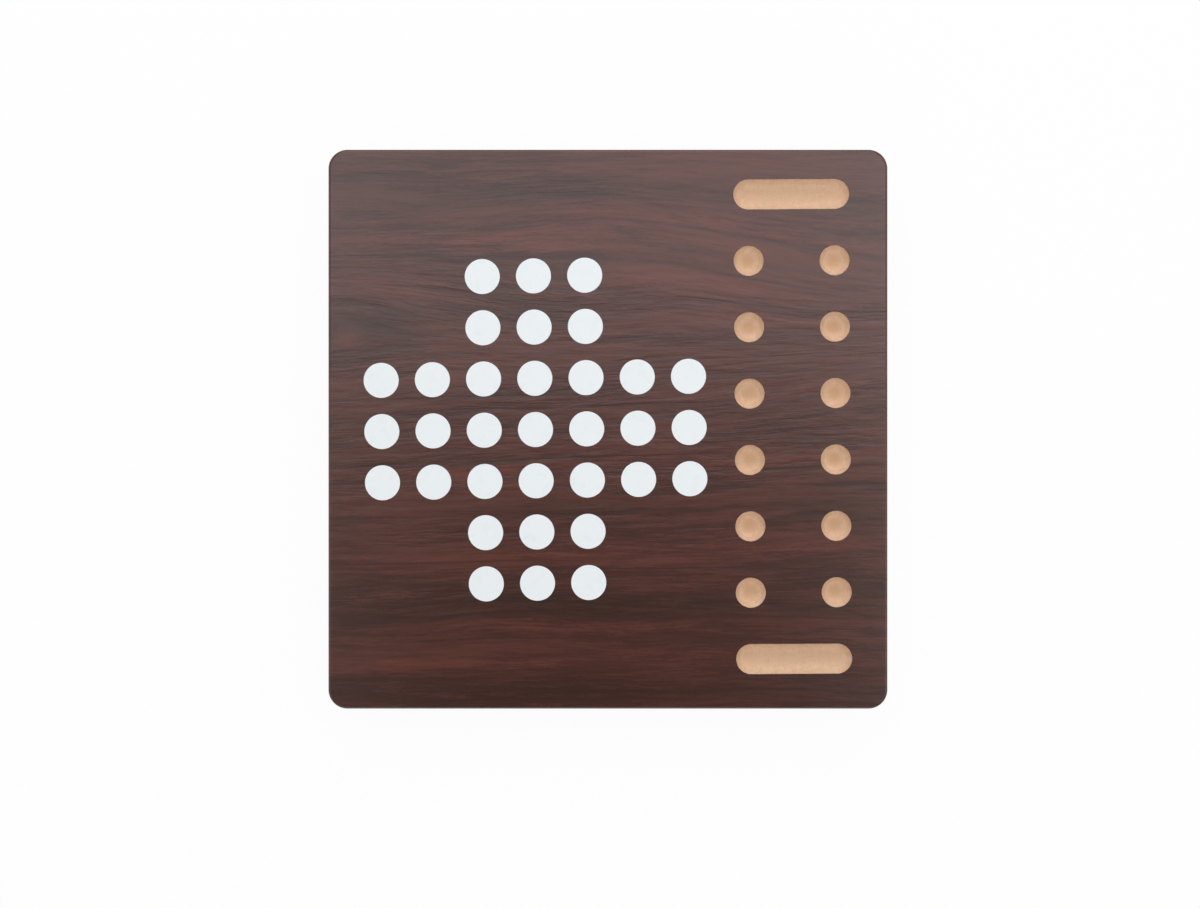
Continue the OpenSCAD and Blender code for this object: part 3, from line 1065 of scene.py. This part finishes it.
@dataclass
class Lid(Assembly):
    """The lift-off lid: a routed fibreboard core under pressed foil, with its printed spots."""

    corner_r: float = 10 * MM
    edge_r: float = 1.5 * MM
    foil_t: float = 0.3 * MM
    pit_w: float = 16 * MM
    pit_depth: float = 6 * MM
    edge_steps: int = 10
    bowl_steps: int = 20
    bowl_flat: float = 0.004
    fuzz_drop: float = 0.2 * MM
    pit_rub: float = 1.0
    store_rub: float = 0.5
    fringe_tilt: float = 0.3
    spot_sides: int = 96
    ragged: float = 0.05 * MM
    rags_per_m: float = 900.0
    ink_slope: float = 0.03 * MM
    body: str = "lid"

    def __post_init__(self) -> None:
        """Reads the lid's own sizes off the frame."""
        low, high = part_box("lid_foil")
        self.side = high.x - low.x
        self.under_z, self.face_z = low.z, high.z
        self.core_low_z, self.core_z = (corner.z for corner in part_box("lid_core"))
        self.cove_r = ((self.pit_w / 2) ** 2 + self.pit_depth ** 2) / (2 * self.pit_depth)
        self.cove_z = self.face_z + self.cove_r - self.pit_depth
        self.coves = self.find_coves()
        self.foil = WalnutFoil("pressed_walnut_foil", "walnut_foil", Grain.OVER_LID, LID_FIGURE)
        self.fibreboard = RawFibreboard("raw_fibreboard", "fibreboard")
        self.ink = ScreenInk("white_screen_ink", "white_ink")

    def find_coves(self) -> list[Cove]:
        """Places the pits and stores by the openings that the record states.

        Returns:
            The pits, and then the stores.
        """
        middles = {}
        for opening in frame["record"]["physics"]["openings"]:
            low, high = (Vector(corner) for corner in opening["box_m"])
            middles[opening["name"]] = ((low + high) / 2).xy
        pits = [Cove(at, at) for name, at in middles.items() if "_pit_" in name]
        half = (middles["right_pit_1"] - middles["left_pit_1"]) / 2
        stores = [Cove(at - half, at + half) for name, at in middles.items() if "_store" in name]
        return pits + stores

    def radius_at(self, z: float) -> float:
        """Gives the cutter's radius at a height."""
        return math.sqrt(self.cove_r ** 2 - (self.cove_z - z) ** 2)

    def outline(self, inset: float) -> list[Vector]:
        """Gives the lid's outline, drawn in from the foil's outer face."""
        side = self.side - 2 * inset
        return rounded_plan(side, side, self.corner_r - inset)

    def shell(self, skin: Skin, inset: float, low_z: float, high_z: float) -> list[Loop]:
        """Adds the lid's sides and rounded top edge.

        Args:
            skin: The mesh.
            inset: How far it lies inside the foil's outer face.
            low_z: Where the sides begin.
            high_z: Where the face lies.

        Returns:
            The loops, from the bottom up.
        """
        radius = self.edge_r - inset
        rows = [(inset, low_z, radius * math.pi / 2 + high_z - radius - low_z)]
        for i in range(self.edge_steps + 1):
            angle = math.pi / 2 * i / self.edge_steps
            depth = inset + radius * (1 - math.cos(angle))
            rows.append((depth, high_z - radius * (1 - math.sin(angle)), radius * (math.pi / 2 - angle)))
        outside = self.outline(0.0)
        face_edge = self.outline(self.edge_r)
        loops = []
        for depth, z, run in rows:
            print_place = [a + (b - a) * run / self.edge_r for a, b in zip(face_edge, outside)]
            loops.append(skin.loop(self.outline(depth), z, print_place))
        skin.join(*loops)
        return loops

    def build_foil(self) -> None:
        """Builds the foil, cut through over every pit and store."""
        skin = Skin()
        outer = self.shell(skin, 0.0, self.under_z, self.face_z)
        inner = self.shell(skin, self.foil_t, self.under_z, self.core_z)
        skin.join(inner[0], outer[0], smooth=False)
        top_holes, low_holes = [], []
        for cove in self.coves:
            top_holes.append(skin.loop(cove.outline(self.radius_at(self.face_z)), self.face_z))
            low_holes.append(skin.loop(cove.outline(self.radius_at(self.core_z)), self.core_z))
            skin.join(top_holes[-1], low_holes[-1], smooth=False)
        skin.cover(outer[-1], top_holes)
        skin.cover(inner[-1], low_holes)
        self.add("pressed_foil", skin.mesh("pressed_foil"), self.foil, "lid_foil")

    def build_core(self) -> None:
        """Builds the fibreboard core with its bowls and troughs, each down to a small flat."""
        skin = Skin()
        outer = self.shell(skin, self.foil_t, self.core_low_z, self.core_z)
        skin.close(outer[0])
        holes = []
        rim = math.acos((self.cove_z - self.core_z) / self.cove_r)
        for cove in self.coves:
            loops = []
            for i in range(self.bowl_steps + 1):
                angle = rim * (1 - i / self.bowl_steps) + self.bowl_flat
                radius = self.cove_r * math.sin(angle)
                z = self.cove_z - self.cove_r * math.cos(angle)
                plan = cove.outline(radius)
                mark = Vector((radius / MM, 0.0, self.pit_rub if cove.is_round() else self.store_rub))
                loops.append(skin.loop(plan, min(z, self.core_z), [mark] * len(plan)))
            skin.join(*loops)
            skin.close(loops[-1])
            holes.append(loops[0])
        skin.cover(outer[-1], holes)
        self.add("routed_core", skin.mesh("routed_core"), self.fibreboard, "lid_core")

    def build_fringe(self, name: str, finish: Finish, z: float, **sizes: float | int) -> None:
        """Raises what the cutter tears loose round every cut.

        Args:
            name: The piece's name.
            finish: What it is made of.
            z: The height at which it hangs on.
            sizes: The strands' Length and Thickness, their Spacing round the cut, and a Seed.
        """
        points, edges = [], []
        for cove in self.coves:
            first, plan = len(points), cove.outline(self.radius_at(z))
            points += [(p.x, p.y, z) for p in plan]
            edges += [(first + (i - 1) % len(plan), first + i) for i in range(len(plan))]
        recipe = Recipe(f"{name}_recipe", **sizes, Stuff=finish.material())
        g, given = recipe.graph, recipe.given
        rim = {"Curve": g.add("GeometryNodeMeshToCurve", [given["Host"]]), "Length": given["Spacing"]}
        strands = recipe.strew(g.add("GeometryNodeCurveToPoints", rim, mode="LENGTH"), self.fringe_tilt)
        self.add(name, recipe.run(plain_mesh(f"{name}_rims", points, edges), strands, given["Stuff"]), finish)

    def build_spots(self) -> None:
        """Prints the solitaire spots where the frame has them."""
        spots = Solids("solitaire_spots")
        recipe = Recipe(
            "screen_printed_spots", Diameter=spots.width(X_AXIS), Thickness=spots.thick, Ragged=self.ragged,
            Seed=5, Ink=self.ink.material(),
        )
        g, given = recipe.graph, recipe.given
        foot = g.add("Math MULTIPLY", [given["Diameter"], 0.5])
        face = g.add("Math ADD", [foot, -self.ink_slope])
        cone = {"Vertices": self.spot_sides, "Radius Top": face, "Radius Bottom": foot}
        disc = g.add("GeometryNodeMeshCone", {**cone, "Depth": given["Thickness"]})
        copies = g.add("GeometryNodeInstanceOnPoints", {"Points": given["Host"], "Instance": disc})
        at = g.add("GeometryNodeInputPosition")
        waves = {"Vector": at, "W": given["Seed"], "Scale": self.rags_per_m, "Detail": 1.0}
        noise = g.add("TexNoise", waves, noise_dimensions="4D")
        printed = recipe.roughen(copies, noise, 0.5, given["Ragged"], SIDEWAYS)
        made = recipe.run(spots.feet("spot_places"), printed, given["Ink"])
        self.add("printed_spots", made, self.ink, "solitaire_spots")

    def build(self) -> None:
        """Builds the lid's pieces and dresses the rest."""
        self.build_core()
        self.build_foil()
        self.build_fringe(
            "rim_fuzz", self.fibreboard, self.core_z - self.fuzz_drop,
            Length=0.9 * MM, Thickness=0.07 * MM, Spacing=0.5 * MM, Seed=6,
        )
        self.build_fringe(
            "foil_burrs", self.foil, (self.core_z + self.face_z) / 2,
            Length=0.6 * MM, Thickness=0.12 * MM, Spacing=0.7 * MM, Seed=7,
        )
        self.build_spots()
        dress("lid_back_sheet", BackingPaper("brown_backing_paper"))
        dress("locating_panel", Hardboard("brown_hardboard"))
        dress("panel_foil", WalnutFoil("flat_walnut_foil"))
        dress("morris_print", self.ink)


@dataclass
class Box(Assembly):
    """The box that the lid lies on: wrapped walls, base, dividers, felt and feet."""

    felt_wave: float = 0.12 * MM
    felt_step: float = 2.0 * MM
    felt_margin: float = 2.5 * MM
    felt_droop: float = 0.25 * MM
    fibres_per_m2: float = 60000.0
    fibre_tilt: float = 0.06
    mesh_side: float = 0.2 * MM
    divider_ease: float = 0.5 * MM
    ease_steps: int = 5

    def build_liner(self, name: str, low: Vector, high: Vector, finish: Finish) -> bpy.types.Object:
        """Builds one felt liner, a thin sheet with soft edges that lies on the base.

        Args:
            name: The piece's name.
            low: The liner's lowest corner.
            high: Its highest corner.
            finish: What it is made of.

        Returns:
            The piece.
        """
        skin = Skin()
        bm, middle, size = skin.bm, (low + high) / 2, high - low
        columns, rows = round(size.x / self.felt_step), round(size.y / self.felt_step)
        bmesh.ops.create_grid(bm, x_segments=columns, y_segments=rows, size=0.5)
        for vert in bm.verts:
            x, y = vert.co.x, vert.co.y
            edge = min(0.5 - abs(x), 0.5 - abs(y))
            wave = math.sin(x * 37 + 3 * math.sin(y * 23)) * math.sin(y * 61 + 2 * math.cos(x * 19))
            z = high.z - (self.felt_droop if edge < 1e-4 else 0.0) - self.felt_wave * (0.5 + 0.5 * wave)
            vert.co = Vector((middle.x + x * size.x, middle.y + y * size.y, z))
        for item in bmesh.ops.extrude_face_region(bm, geom=bm.faces[:])["geom"]:
            if isinstance(item, bmesh.types.BMVert):
                item.co.z = low.z
        mesh = skin.mesh(name)
        mesh.shade_smooth()
        return self.add(name, mesh, finish)

    def build_bloom(self, name: str, low: Vector, high: Vector, finish: Finish) -> bpy.types.Object:
        """Builds the loose fibres that stand off a liner's face.

        Args:
            name: The piece's name.
            low: The liner's lowest corner.
            high: Its highest corner.
            finish: What it is made of.

        Returns:
            The piece.
        """
        x0, y0 = low.xy + Vector((self.felt_margin, self.felt_margin))
        x1, y1 = high.xy - Vector((self.felt_margin, self.felt_margin))
        z = high.z - self.felt_wave
        corners = (x0, y0, z), (x1, y0, z), (x1, y1, z), (x0, y1, z)
        recipe = Recipe(
            f"{name}_recipe", Length=2.4 * MM, Thickness=0.06 * MM, Density=self.fibres_per_m2, Seed=8,
            Felt=finish.material(),
        )
        given = recipe.given
        face = {"Mesh": given["Host"], "Density": given["Density"], "Seed": given["Seed"]}
        points = recipe.graph.add("GeometryNodeDistributePointsOnFaces", face, distribute_method="RANDOM")
        host = plain_mesh(f"{name}_face", corners, faces=[(0, 1, 2, 3)])
        made = recipe.run(host, recipe.strew(points, self.fibre_tilt), given["Felt"])
        return self.add(name, made, finish)

    def build_divider(self, side: str) -> None:
        """Builds a divider of thin plywood, with its sharp edges sanded off.

        Args:
            side: Which of the two dividers it is.
        """
        low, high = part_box(f"{side}_divider")
        middle, size, ease = (low + high) / 2, high - low, self.divider_ease
        curve = [math.pi / 2 * i / self.ease_steps for i in range(self.ease_steps + 1)]
        lower = [(ease * (1 - math.sin(a)), low.z + ease * (1 - math.cos(a))) for a in curve]
        upper = [(ease * (1 - math.cos(a)), high.z - ease * (1 - math.sin(a))) for a in curve]
        skin = Skin()
        loops = []
        for inset, z in lower + upper:
            plan = rounded_plan(size.x - 2 * inset, size.y - 2 * inset, ease, self.ease_steps)
            loops.append(skin.loop([point + middle.xy for point in plan], z))
        skin.join(*loops[:len(lower)])
        skin.join(*loops[len(lower) - 1:len(lower) + 1], smooth=False)
        skin.join(*loops[len(lower):])
        skin.close(loops[0], loops[-1])
        name = f"{side}_sanded_divider"
        plywood = BirchPlywood(f"{side}_birch_plywood", "divider_board", middle.x)
        self.add(name, skin.mesh(name), plywood, f"{side}_divider")

    def build_liners(self) -> None:
        """Lays a felt liner in each bay."""
        felt = WoolFelt("green_wool_felt", "liner_felt")
        low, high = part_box("felt_liners")
        left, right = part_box("left_divider"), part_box("right_divider")
        gap = low.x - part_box("left_wall_foil")[1].x
        bays = (
            ("left", low.x, left[0].x - gap),
            ("middle", left[1].x + gap, right[0].x - gap),
            ("right", right[1].x + gap, high.x),
        )
        for name, x0, x1 in bays:
            corners = Vector((x0, low.y, low.z)), Vector((x1, high.y, high.z))
            liner = self.build_liner(f"{name}_felt_liner", *corners, felt)
            bloom = self.build_bloom(f"{name}_felt_fibres", *corners, felt)
        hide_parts("felt_liners")

    def build(self) -> None:
        """Builds the liners and the dividers, and dresses the box's nodes."""
        self.build_liners()
        fibreboard = RawFibreboard("raw_fibreboard")
        along_x = WalnutFoil("wall_foil_left_to_right")
        along_y = WalnutFoil("wall_foil_front_to_back", grain=Grain.ALONG_Y)
        for side, foil in (("front", along_x), ("back", along_x), ("left", along_y), ("right", along_y)):
            dress(f"{side}_wall", fibreboard)
            dress(f"{side}_wall_foil", foil)
        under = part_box("base_panel")[0].z
        dress("base_panel", Hardboard("mesh_backed_hardboard", mesh_below=(under + self.mesh_side) / MM))
        for side in ("left", "right"):
            self.build_divider(side)
        dress("rubber_feet", MouldedRubber("black_moulded_rubber"))


@dataclass
class Pieces(Assembly):
    """What the box holds: turned men of two colours, and mancala stones."""

    rim_r: float = 1.2 * MM
    groove_at: float = 0.62
    groove_w: float = 1.0 * MM
    groove_deep: float = 0.35 * MM
    centre_r: float = 0.02 * MM
    curve_steps: int = 6
    turns: int = 72
    stone_length: tuple[float, float] = (0.82, 0.96)
    stone_breadth: tuple[float, float] = (0.68, 0.9)
    lumps: float = 0.5 * MM
    lumps_per_m: float = 260.0
    lump_middle: float = 0.6

    def lathe(self, radius: float, thick: float) -> bpy.types.Mesh:
        """Turns one man: rounded rims, and a shallow ring in each face.

        Args:
            radius: The man's radius.
            thick: Its thickness.

        Returns:
            The mesh, standing on its origin.
        """
        ring, half, steps = self.groove_at * radius, self.groove_w / 2, self.curve_steps
        top = [(self.centre_r, 0.0), (ring - half, 0.0)]
        for i in range(1, steps):
            angle = math.pi * i / steps
            top.append((ring - half * math.cos(angle), -self.groove_deep * math.sin(angle)))
        top.append((ring + half, 0.0))
        for i in range(steps + 1):
            angle = math.pi / 2 * i / steps
            top.append((radius - self.rim_r * (1 - math.sin(angle)), -self.rim_r * (1 - math.cos(angle))))
        skin = Skin()
        loops = []
        shares = [i / self.turns for i in range(self.turns)]
        for r, z in [(r, thick + z) for r, z in top] + [(r, -z) for r, z in reversed(top)]:
            loops.append(skin.loop(arc(Vector((0.0, 0.0)), r, 0.0, 2 * math.pi, shares), z))
        skin.join(*loops)
        skin.close(loops[0], loops[-1])
        return skin.mesh("turned_man")

    def build_men(self, node: str, name: str, finish: Finish, seed: int) -> None:
        """Lays the men of one colour where the frame has them, each with its own place as its grain.

        Args:
            node: The node that they stand for.
            name: The piece's name.
            finish: What they are made of.
            seed: Picks how each man is turned.
        """
        men = Solids(node)
        man = bpy.data.objects.new("turned_man", self.lathe(men.width(Y_AXIS) / 2, men.thick))
        recipe = Recipe(f"{name}_places", Seed=seed, Man=man, Wood=finish.material())
        g, given = recipe.graph, recipe.given
        shape = g.add("GeometryNodeObjectInfo", [given["Man"]]).node.outputs["Geometry"]
        own = {"Geometry": shape, "Name": "grain", "Value": g.add("GeometryNodeInputPosition")}
        marked = g.add("GeometryNodeStoreNamedAttribute", own, data_type="FLOAT_VECTOR", domain="POINT")
        copies = recipe.scatter(given["Host"], marked, NO_TURN, WHOLE_TURN, EVERY_WAY)
        made = recipe.run(men.feet(f"{name}_spots"), copies, given["Wood"])
        bpy.data.objects.remove(man)
        self.add(name, made, finish, node)

    def build_stones(self) -> None:
        """Lays the mancala stones where the frame has them, each of its own shape, and flat below."""
        finish = RiverPebble("polished_river_pebble", "pebble")
        stones = Solids("mancala_stones")
        recipe = Recipe(
            "tumbled_pebbles", Width=stones.width(Y_AXIS), Thickness=stones.thick, Lumps=self.lumps,
            Floor=stones.low.z, Seed=9, Stone=finish.material(),
        )
        g, given = recipe.graph, recipe.given
        ball = g.add("GeometryNodeMeshIcoSphere", {"Radius": 0.5, "Subdivisions": 4})
        seed, other_seed = given["Seed"], g.add("Math ADD", [given["Seed"], 1.0])
        draws = (*self.stone_length, seed), (*self.stone_breadth, other_seed), (0.0, 1.0, seed)
        length, breadth, tone = (
            g.add("FunctionNodeRandomValue", {2: low, 3: high, "Seed": seed}, data_type="FLOAT")
            for low, high, seed in draws
        )
        x, y = (g.add("Math MULTIPLY", [share, given["Width"]]) for share in (length, breadth))
        scale = g.add("CombineXYZ", [x, y, given["Thickness"]])
        copies = recipe.scatter(given["Host"], ball, NO_TURN, WHOLE_TURN, scale)
        own = {"Geometry": copies, "Name": "tone", "Value": tone}
        marked = g.add("GeometryNodeStoreNamedAttribute", own, data_type="FLOAT", domain="INSTANCE")
        waves = {"Vector": g.add("GeometryNodeInputPosition"), "Scale": self.lumps_per_m, "Detail": 1.0}
        noise = g.add("TexNoise", waves, noise_dimensions="3D")
        lumpy = recipe.roughen(marked, noise, self.lump_middle, given["Lumps"], EVERY_WAY)
        x, y, z = g.add("SeparateXYZ", [g.add("GeometryNodeInputPosition")]).node.outputs
        lowest = g.add("Math MAXIMUM", [z, given["Floor"]])
        seated = g.add("CombineXYZ", [x, y, lowest])
        moved = g.add("GeometryNodeSetPosition", {"Geometry": lumpy, "Position": seated})
        smooth = g.add("GeometryNodeSetShadeSmooth", [moved])
        made = recipe.run(plain_mesh("stone_places", stones.middles), smooth, given["Stone"])
        self.add("tumbled_stones", made, finish, "mancala_stones")

    def build(self) -> None:
        """Lays the men and the stones."""
        light = TurnedBeech("lacquered_beech", "light_beech")
        dark = TurnedBeech("stained_beech", "dark_beech", "#3b2218", "#2c1811", "#190d09")
        self.build_men("light_men", "light_turned_men", light, 3)
        self.build_men("dark_men", "dark_turned_men", dark, 4)
        self.build_stones()


@dataclass(frozen=True)
class Softbox:
    """A softbox that hangs over the board and faces its middle. Angles are in degrees."""

    name: str
    azimuth: float
    tilt: float
    width: float
    depth: float
    radiance: float
    colour: Size = (1.0, 1.0, 1.0)
    distance: float = 1.7

    def hang(self) -> None:
        """Hangs the softbox, tilted away from straight above and then swung round to its azimuth."""
        data = bpy.data.lights.new(self.name, "AREA")
        data.shape = "RECTANGLE"
        data.size = self.depth
        data.size_y = self.width
        data.color = self.colour
        data.energy = self.radiance * math.pi * self.width * self.depth
        swing = Matrix.Rotation(math.radians(self.azimuth), 4, "Z")
        tilt = Matrix.Rotation(math.radians(self.tilt), 4, "Y")
        above = Matrix.Translation((0.0, 0.0, self.distance))
        place(self.name, data).matrix_world = swing @ tilt @ above


@dataclass
class Studio:
    """The camera, the floor, the backdrop and the soft lights."""

    distance: float = 0.95
    sensor: float = 36.0
    board_px: float = 559.7
    board_at: tuple[float, float] = (607.95, 429.15)
    ambient: float = 0.14
    reach: float = 4.0
    backdrop_h: float = 3.2
    backdrop_sides: int = 64
    softboxes: tuple[Softbox, ...] = (
        Softbox("back_softbox", 90, 29.5, 1.37, 1.70, 1.93, (0.985, 0.99, 1.035)),
        Softbox("right_softbox", 0, 32, 1.37, 1.10, 1.58),
        Softbox("left_softbox", 180, 32, 1.37, 1.10, 1.0),
        Softbox("low_front_softbox", -90, 64, 1.60, 1.00, 1.2),
        Softbox("low_back_softbox", 90, 66, 1.60, 1.00, 1.0),
    )

    def place_camera(self, side: float, face_z: float) -> None:
        """Puts the camera over the board, so that the lid fills the frame as in the photograph.

        Args:
            side: The lid's side.
            face_z: The height of its face.
        """
        px_per_metre = self.board_px / side
        data = bpy.data.cameras.new("camera")
        data.sensor_width = self.sensor
        data.lens = px_per_metre * self.distance * self.sensor / PHOTO_SIZE[0]
        data.clip_end = 100.0
        camera = place("camera", data)
        camera.location = (
            -(self.board_at[0] - PHOTO_SIZE[0] / 2) / px_per_metre,
            (self.board_at[1] - PHOTO_SIZE[1] / 2) / px_per_metre,
            face_z + self.distance,
        )
        bpy.context.scene.camera = camera

    def build_room(self) -> None:
        """Lays the pale floor and stands the round backdrop behind it."""
        r, skin = self.reach, Skin()
        skin.close(skin.loop([Vector(corner) for corner in ((-r, -r), (r, -r), (r, r), (-r, r))], 0.0))
        paper = StudioWhite("pale_floor", own_light=0.95)
        show("floor", skin.mesh("floor", closed=False), paper)
        skin = Skin()
        shares = [i / self.backdrop_sides for i in range(self.backdrop_sides)]
        plan = arc(Vector((0.0, 0.0)), r, 0.0, 2 * math.pi, shares)
        skin.join(skin.loop(plan, self.backdrop_h), skin.loop(plan, 0.0))
        wall = show("backdrop", skin.mesh("backdrop", closed=False), StudioWhite("pale_backdrop"))
        wall.visible_diffuse = False
        wall.visible_shadow = False

    def build(self, side: float, face_z: float) -> None:
        """Builds the whole studio.

        Args:
            side: The lid's side.
            face_z: The height of its face.
        """
        bpy.context.scene.view_settings.view_transform = "Standard"
        world = bpy.data.worlds.new("soft_room")
        world.use_nodes = True
        g = Graph(world.node_tree)
        seen = g.add("LightPath").node.outputs["Is Camera Ray"]
        strength = g.add("MapRange", [seen, 0.0, 1.0, self.ambient, 1.0])
        sky = g.add("Background", {"Color": WHITE, "Strength": strength})
        g.add("OutputWorld", {"Surface": sky})
        bpy.context.scene.world = world
        self.place_camera(side, face_z)
        self.build_room()
        for softbox in self.softboxes:
            softbox.hang()


def main() -> None:
    """Builds the studio and every sub-assembly, and reports each piece."""
    logging.basicConfig(level=logging.INFO, format="%(name)s: %(message)s")
    lid = Lid()
    Studio().build(lid.side, lid.face_z)
    lid.build()
    Box().build()
    Pieces().build()


if __name__ == "__main__":
    main()
